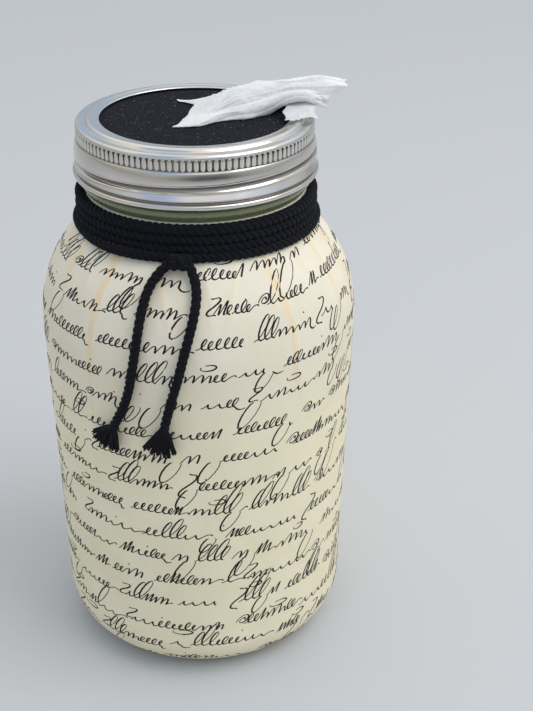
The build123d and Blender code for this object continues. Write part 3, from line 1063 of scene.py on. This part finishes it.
bits = fluff.geo("InstanceOnPoints", Points=bits, Instance=bow, Rotation=tilt, Scale=long)[0]
bits = fluff.geo("RealizeInstances", Geometry=bits)[0]
thread = fluff.geo("CurvePrimitiveCircle", Resolution=4, Radius=given["Thickness"])[0]
sweep(fluff, bits, thread, lint_look)
faces = [face.vertices[:] for face in felt_pad.data.polygons]
lint = add_mesh("felt_lint", [v.co for v in felt_pad.data.vertices], faces)
grow(
    lint, fluff, Amount=300, Seed=7, Reach=27.5 * MM, Length=0.75 * MM, Thickness=0.035 * MM,
)
dress(lint, "insert")

# %% [markdown]
# ## The tissue
# The next tissue stands ready: gathered through the slit, it flops to the right as a soft roll,
# with two torn corners lying to the left and a loose flap over the band. Tissue is a soft white
# mat of fibres that lets light through, and one loose ply of it is sheer.

# %% Tissue finish
def tissue_finish(name, alpha):
    """White tissue paper. A single loose ply is sheer, so it has a lower alpha."""
    look, bench, shader = start_material(
        name, Roughness=0.95, Specular_IOR_Level=0.1, Subsurface_Weight=0.25,
        Subsurface_Scale=0.0025, Subsurface_Radius=(1, 1, 1), Alpha=alpha,
    )
    fibre = bench.noise(1100, 3)
    white = bench.ramp(fibre, (0.3, (0.775, 0.78, 0.78)), (0.7, (0.84, 0.845, 0.845)))
    bench.wire(white, shader["Base Color"])
    bench.wire(bench.bump(fibre, 0.08 * MM, 0.5), shader["Normal"])
    return look


tissue_look = tissue_finish("tissue_paper", 1.0)
sheer_look = tissue_finish("sheer_tissue", 0.72)
for name, cad_node in nodes_of_frame.items():
    if name.startswith("tissue_sheet"):
        cad_node.data.materials.clear()
        cad_node.data.materials.append(tissue_look)
print("tissue finish ready")

# %% [markdown]
# Tissue this small and limp won't run as a stable cloth simulation, so its sheets are shaped by
# rules. The roll is an arch along a spine, whose two long edges tuck under it. At each station
# the spine gives the arch's middle, its crest, and how far and how low it comes on each side.

# %% Tissue spine
lip_top = band_high.z / MM
spine = {
    "s": (0.0, 0.14, 0.26, 0.38, 0.5, 0.62, 0.74, 0.87, 1.0),
    "x": (-6.0, 1.5, 8.0, 14.5, 21.0, 27.5, 34.0, 40.5, 46.5),
    "middle": (0.0, 0.5, 1.8, 2.8, 4.0, 5.2, 6.4, 7.6, 8.5),
    "crest": (177.8, 180.1, 182.7, 184.4, 185.0, 185.3, 186.0, 186.0, 184.2),
    "front": (12.0, 12.4, 7.6, 7.9, 5.8, 4.6, 5.6, 6.4, 5.5),
    "back": (15.4, 12.0, 9.4, 8.5, 8.5, 8.5, 8.5, 8.0, 6.5),
    "front foot": (177.5, 177.5, 177.6, 177.8, 179.2, 182.0, 182.6, 181.8, 181.2),
    "back foot": (177.5, 177.6, 177.8, 178.0, 178.4, 179.2, 179.8, 180.2, 181.6),
}


def at_station(name, s):
    """A smooth value along the tissue."""
    near = [float(np.interp(s + shift, spine["s"], spine[name])) for shift in (-0.05, 0, 0.05)]
    return (near[0] + 2 * near[1] + near[2]) / 4


print("spine has", len(spine["s"]), "stations")

# %% [markdown]
# Its folds run along it: broad round ones with sharp valleys, smaller ones across their flanks,
# lumps, a few hard creases, and the fine crinkle of paper that has been crushed in a pack.

# %% Tissue folds
def folded(x):
    """A round fold with a sharp valley, from -0.6 to 0.4."""
    return abs(sin(pi * x)) ** 0.75 - 0.6


def fold_at(s, v):
    """Height of the folds in mm, s along the tissue from 0 to 1 and v across it from -1 to 1."""
    drift = noise_at(s * 2.6, v * 1.1, 5)
    wander = noise_at(s * 4.5, v * 2.3, 8)
    main = folded(1.15 * v + 0.7 * s + 0.45 * drift + 0.1)
    second = folded(2.9 * v - 0.9 * s + 0.9 * wander + 0.4)
    lumps = noise_at(s * 7, v * 2.6, 1)
    crinkle = noise_at(s * 34, v * 11, 3) + 0.5 * noise_at(s * 70, v * 26, 7)
    line = noise_at(s * 2.4 + 0.6 * drift, v * 4.2 - 1.6 * s, 4)
    crease = max(0, 1 - 9 * abs(line)) ** 1.5
    gathered = min(1, 0.35 + s / 0.25)
    folds = 1.7 * main + 0.45 * second + 0.5 * crease
    return gathered * folds + 0.7 * lumps + 0.16 * crinkle


print("folds at the middle of the roll:", round(fold_at(0.5, 0), 2), "mm")

# %% [markdown]
# The roll's two ends differ. On the left the sheet ends in two torn corners that lie on the felt,
# and on the right it hangs a little slack beyond the band. What lies low rests on felt or band.

# %% Tissue roll
tuck = 1.28
end_start = 0.72  # where the slack right end begins, as a share of the length
felt_reach = 28
left_side_v = (-1.0, -0.8, -0.6, -0.4, 0.0, 0.26, 0.34, 0.5, 0.75, 1.0)
left_side_x = (-6.6, -7.6, -6.9, -5.2, -2.6, -0.9, -1.6, -5.4, -6.2, -4.4)


def tissue_at(s, across):
    """A point of the roll in mm."""
    v = 2 * across - 1
    theta = pi / 2 * (1 + tuck * v)
    torn = noise_at(v * 4, 0.3, 9) + 0.5 * noise_at(v * 15, 1, 2)
    left_edge = float(np.interp(v, left_side_v, left_side_x)) + 0.5 * torn
    x = at_station("x", s) + (left_edge - spine["x"][0]) * max(0, 1 - s / 0.36) ** 1.3
    at_end = max(0, (s - end_start) / (1 - end_start))
    slack = at_end * min(1, max(0, (-0.34 - v) / 0.22))
    x -= (1.2 * abs(v) ** 2 + 1.0 * torn) * at_end + 5.0 * slack
    crest = at_station("crest", s)
    side = "front" if v < 0 else "back"
    foot = at_station(side + " foot", s)
    lift = fold_at(s, v) * (1 - 0.35 * v * v) * (0.12 + 0.88 * min(1, s / 0.2))
    y = at_station("middle", s) - at_station(side, s) * cos(theta) - 0.8 * lift * cos(theta)
    z = foot + (crest - foot) * sin(theta) + lift * max(0.15, sin(theta)) - 1.8 * slack
    beyond = (x * x + y * y) ** 0.5 > felt_reach
    ground = lip_top + 0.2 if beyond else on_felt(x, y) + 0.35
    return Vector((x, y, max(z, ground + 0.2 * abs(noise_at(x * 0.9, y * 0.9, 3)))))


def two_ply(piece):
    """Gives a tissue sheet its thickness."""
    thicken(piece, 0.12 * MM, offset=0)


def ruled_sheet(name, rows, columns, rule, flip=False):
    """An open sheet. A rule gives each point in mm from its shares along and across the sheet."""
    points = []
    for row in range(rows):
        for column in range(columns):
            points.append(rule(row / (rows - 1), column / (columns - 1)) * MM)
    return add_sheet(name, points, columns, closed=False, flip=flip)


tissue = ruled_sheet("tissue_top", 190, 120, tissue_at, flip=True)
two_ply(tissue)
dress(tissue, "tissue", ["pulled_tissue"], tissue_look)

# %% [markdown]
# One corner has slipped out from under the roll and lies over the band's lip. It is a sheet
# between two lines, one under the roll and one on the band, bent over the lip with a soft hang.

# %% Loose flap
under_roll, lip_radius = 180.3, 34.2


def flap_at(out, w):
    """A point of the flap in mm, out from the roll from 0 to 1 and w along its edge."""
    torn = 1.4 * noise_at(w * 5, 2, 1) + 0.8 * noise_at(w * 15, 5, 1)
    start = Vector((28.4 + 8.2 * w, 4.4 - 1.0 * w, 181.6))
    edge = Vector((25.4 + 10.2 * w, -9.8 + 4.6 * w**1.3, lip_top))
    place = start.lerp(edge, out)
    place.y += torn * max(0, (out - 0.7) / 0.3)
    place.x += 1.3 * noise_at(out * 2.6, w * 1.1, 6) + 0.4 * sin(7 * out + 2)
    fold = 0.55 * folded(0.5 * w + 1.5 * out + 0.35) * min(1, 2 * out)
    fold += 0.3 * noise.noise(place * 0.3) + 0.12 * noise.noise(place * 1.1)
    hang = (1 - out) ** 1.25
    rounded = max(0, (place.x**2 + place.y**2) ** 0.5 - lip_radius)
    resting = lip_top + 0.25 - 0.35 * rounded**1.5
    place.z = resting + (under_roll - resting) * hang + max(0, fold + 0.35 * out)
    return place


flap = ruled_sheet("tissue_flap", 44, 52, flap_at, flip=True)
two_ply(flap)
dress(flap, "tissue", finish=sheer_look)

# %% [markdown]
# Below the roll the tissue is gathered into a narrow pleated strip that goes down through the slit
# into the jar. It is another sheet shaped by a rule: even pleats that are shallower at its edges.

# %% Tissue stem
stem_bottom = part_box("pulled_tissue")[0].z / MM
stem_top = felt_top + 1.2
stem_half = 8.0
stem_pleats, pleat_depth = 4.5, 0.72


def stem_at(up, across):
    """A point of the stem in mm."""
    v = 2 * across - 1
    wave = sin(2 * pi * (stem_pleats * v + 0.5 * noise_at(v * 2, up * 3, 6)))
    deep = pleat_depth * (1 - 0.52 * v * v)
    return Vector((deep * wave, stem_half * v, stem_bottom + (stem_top - stem_bottom) * up))


stem = ruled_sheet("tissue_stem", 60, 90, stem_at)
two_ply(stem)
dress(stem, "tissue", finish=tissue_look)

# %% [markdown]
# ## The glass
# The jar shows between the band and the cord, and more of it when the band is unscrewed. It is
# turned from the CAD model's own outline, with the one thing that the model leaves out: the screw
# thread that climbs round the finish.

# %% Glass outline
glass_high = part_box("glass_jar")[1]
glass_solid = solid_tree("glass_jar")
rim_height, floor_height, rim_round = glass_high.z / MM, 6.0, 1.2
outer_heights = [0.25, 0.6, 1.2, 2.2, 4, 6.5, 10, 14] + list(np.linspace(20, 150, 40))
outer_heights += list(np.arange(151, 173.2, 0.3))
inner_heights = [173.2, 172, 168, 164, 161, 158, 155, 152] + list(np.linspace(150, 20, 36))
inner_heights += [16, 12, 10, 8, 6.6, floor_height + 0.1]


def glass_radius(height, inside):
    """The radius of the CAD glass at a height, outside or inside, in mm."""
    start = Vector((0, 0 if inside else -0.2, height * MM))
    way = Vector((0, -1 if inside else 1, 0))
    return abs(glass_solid.ray_cast(start, way)[0].y) / MM


foot = [(0.01, 2.5), (8, 2.15), (16, 1.3), (22.6, 0.15), (24, 0), (30, 0)]
glass_line = foot + [(glass_radius(h, False), float(h)) for h in outer_heights]
rim_out, rim_in = glass_radius(173.1, False), glass_radius(173.1, True)
leans = [pi / 2 * k / 6 for k in range(1, 7)]
for edge, inwards, turns in ((rim_out, -1, leans), (rim_in, 1, leans[::-1])):
    for lean in turns:
        height = rim_height - rim_round + rim_round * sin(lean)
        glass_line.append((edge + inwards * rim_round * (1 - cos(lean)), height))
glass_line += [(glass_radius(h, True), float(h)) for h in inner_heights]
glass_line += [(20, floor_height), (0.01, floor_height)]
print("glass outline has", len(glass_line), "points")

# %% [markdown]
# The outline is turned round, with the thread raised on its outside. A turned mesh has a heap of
# points at each pole and some that nearly touch, so these are merged before the glass is used.

# %% Glass jar
ridge_height, ridge_half = 1.15, 0.62
threads_low, threads_high = 162, 172.6
glass_columns = 256


def ridge_at(angle, height):
    """The thread on the glass: how far it stands out, in mm."""
    out = 0.0
    ends = (rim_height - 7.2, rim_height - 3.4, rim_height - 11.4)
    for middle, fade in passes(angle, *ends, 1.2):
        out += ridge_height * fade * exp(-(((height - middle) / ridge_half) ** 4))
    return out


glass_points = []
for spot, (radius, height) in enumerate(glass_line):
    outside = len(foot) <= spot < len(foot) + len(outer_heights)
    threaded = outside and threads_low < height < threads_high
    for column in range(glass_columns):
        angle = 360 * column / glass_columns - 180
        out = ridge_at(angle, height) if threaded else 0
        glass_points.append(around(angle, radius + out, height))
glass_jar = add_sheet("jar", glass_points, glass_columns)
close = bmesh.new()
close.from_mesh(glass_jar.data)
bmesh.ops.remove_doubles(close, verts=close.verts, dist=0.03 * MM)
for pole in (foot[0][1], floor_height):
    level = [v for v in close.verts if abs(v.co.z / MM - pole) < 0.01]
    ring = [v for v in level if v.co.xy.length < 0.02 * MM]
    if len(ring) > 1:
        bmesh.ops.pointmerge(close, verts=ring, merge_co=(0, 0, pole * MM))
bmesh.ops.recalc_face_normals(close, faces=close.faces)
close.to_mesh(glass_jar.data)
close.free()
print("glass has", len(glass_jar.data.vertices), "points")

# %% [markdown]
# Bottle glass is slightly green, and fire-polished: smooth, but not quite flat. So the shader lets
# most of the light through, tints it, and gets a faint slow bump.

# %% Glass finish
glass, bench, shader = start_material(
    "jar_glass", Roughness=0.03, Transmission_Weight=0.68, IOR=1.5, Coat_Weight=0.3,
    Base_Color=(0.56, 0.62, 0.34, 1),
)
bench.wire(bench.bump(bench.noise(120, 2), 0.3 * MM, 0.3), shader["Normal"])
dress(glass_jar, "jar", ["glass_jar"], glass)

# %% [markdown]
# ## Floor and light
# The jar stands on a plain pale floor, wide enough that the camera never sees its edge close by.
# It is part of the stage, not of the object.

# %% Floor
floor_look, bench, shader = start_material(
    "pale_floor", Roughness=0.8, Specular_IOR_Level=0.15, Base_Color=(0.53, 0.545, 0.555, 1)
)
corners = [(-12, -12, 0), (12, -12, 0), (12, 12, 0), (-12, 12, 0)]
floor = add_mesh("floor", corners, [(0, 1, 2, 3)])
floor.data.materials.append(floor_look)
print("floor is", round(floor.dimensions.x), "m wide")

# %% [markdown]
# The light is soft and even, from a studio's sky. The sky is not the same all round, because
# bright metal would look flat in it: it is darker towards the horizon, faintly blue half way up
# and brightest overhead, with two bluer patches, a warmer left side, and a dim patch where the
# camera stands.

# %% World
world = bpy.data.worlds.new("studio")
scene.world = world
world.use_nodes = True
bench = Bench(world.node_tree)
way = bench.node("ShaderNodeTexCoord")["Generated"]
to = bench.split(way)
sky = bench.ramp(
    to["Z"], (0.0, (0.38, 0.375, 0.35)), (0.14, (0.53, 0.53, 0.515)),
    (0.27, (0.55, 0.61, 0.72)), (0.42, (0.62, 0.69, 0.82)), (0.62, (0.99, 0.98, 0.95)),
    (1.0, (1.0, 0.97, 0.92)),
)
blue_way = Vector((-0.42, -0.5, 0.76)).normalized()
near_blue = bench.vector("DOT_PRODUCT", way, blue_way)
clear = bench.ramp(near_blue, (0.89, (1, 1, 1)), (0.96, (0.40, 0.60, 1.0)))
far_way = Vector((0, 0.92, 0.39)).normalized()
near_far = bench.vector("DOT_PRODUCT", way, far_way)
far_blue = bench.ramp(near_far, (0.93, (1, 1, 1)), (0.985, (0.76, 0.83, 0.90)))
aside = bench.calc("DIVIDE", bench.calc("SUBTRACT", to["X"], 0.2), 0.75)
above = bench.calc("DIVIDE", bench.calc("SUBTRACT", to["Z"], 0.04), 0.27)
spread = bench.plus(bench.calc("POWER", aside, 2), bench.calc("POWER", above, 2))
behind = bench.calc("GREATER_THAN", to["Y"], 0.0)
off_centre = bench.plus(bench.calc("SQRT", spread), behind)
leftwards = bench.times(to["X"], -1)
warm = bench.ramp(leftwards, (0.2, (1, 1, 1)), (0.95, (0.86, 0.84, 0.77)))
dim = bench.ramp(off_centre, (0.3, (0.15, 0.14, 0.15)), (1.0, (1, 1, 1)))
light = sky
for tint in (clear, dim, warm, far_blue):
    light = bench.vector("MULTIPLY", light, tint)
background = world.node_tree.nodes["Background"]
bench.wire(light, background.inputs["Color"])
background.inputs["Strength"].default_value = 1.1
print("world has", len(world.node_tree.nodes), "nodes")

# %% [markdown]
# One soft window stands on the right, high up. It gives the paper its slow fall of light to the
# left and the floor a faint shadow, and it is large, because a small lamp would draw hard edges.

# %% Lamp
lamp_data = bpy.data.lights.new("window", "AREA")
lamp_data.size = 1.0
lamp_data.energy = 8.5
lamp_data.color = (0.97, 0.97, 0.98)
lamp = bpy.data.objects.new("window", lamp_data)
scene.collection.objects.link(lamp)
lamp.location = (0.75, -0.35, 1.25)
aim = Vector((0, 0, 0.1)) - lamp.location
lamp.rotation_euler = aim.to_track_quat("-Z", "Y").to_euler()
print("lamp gives", lamp_data.energy, "W")
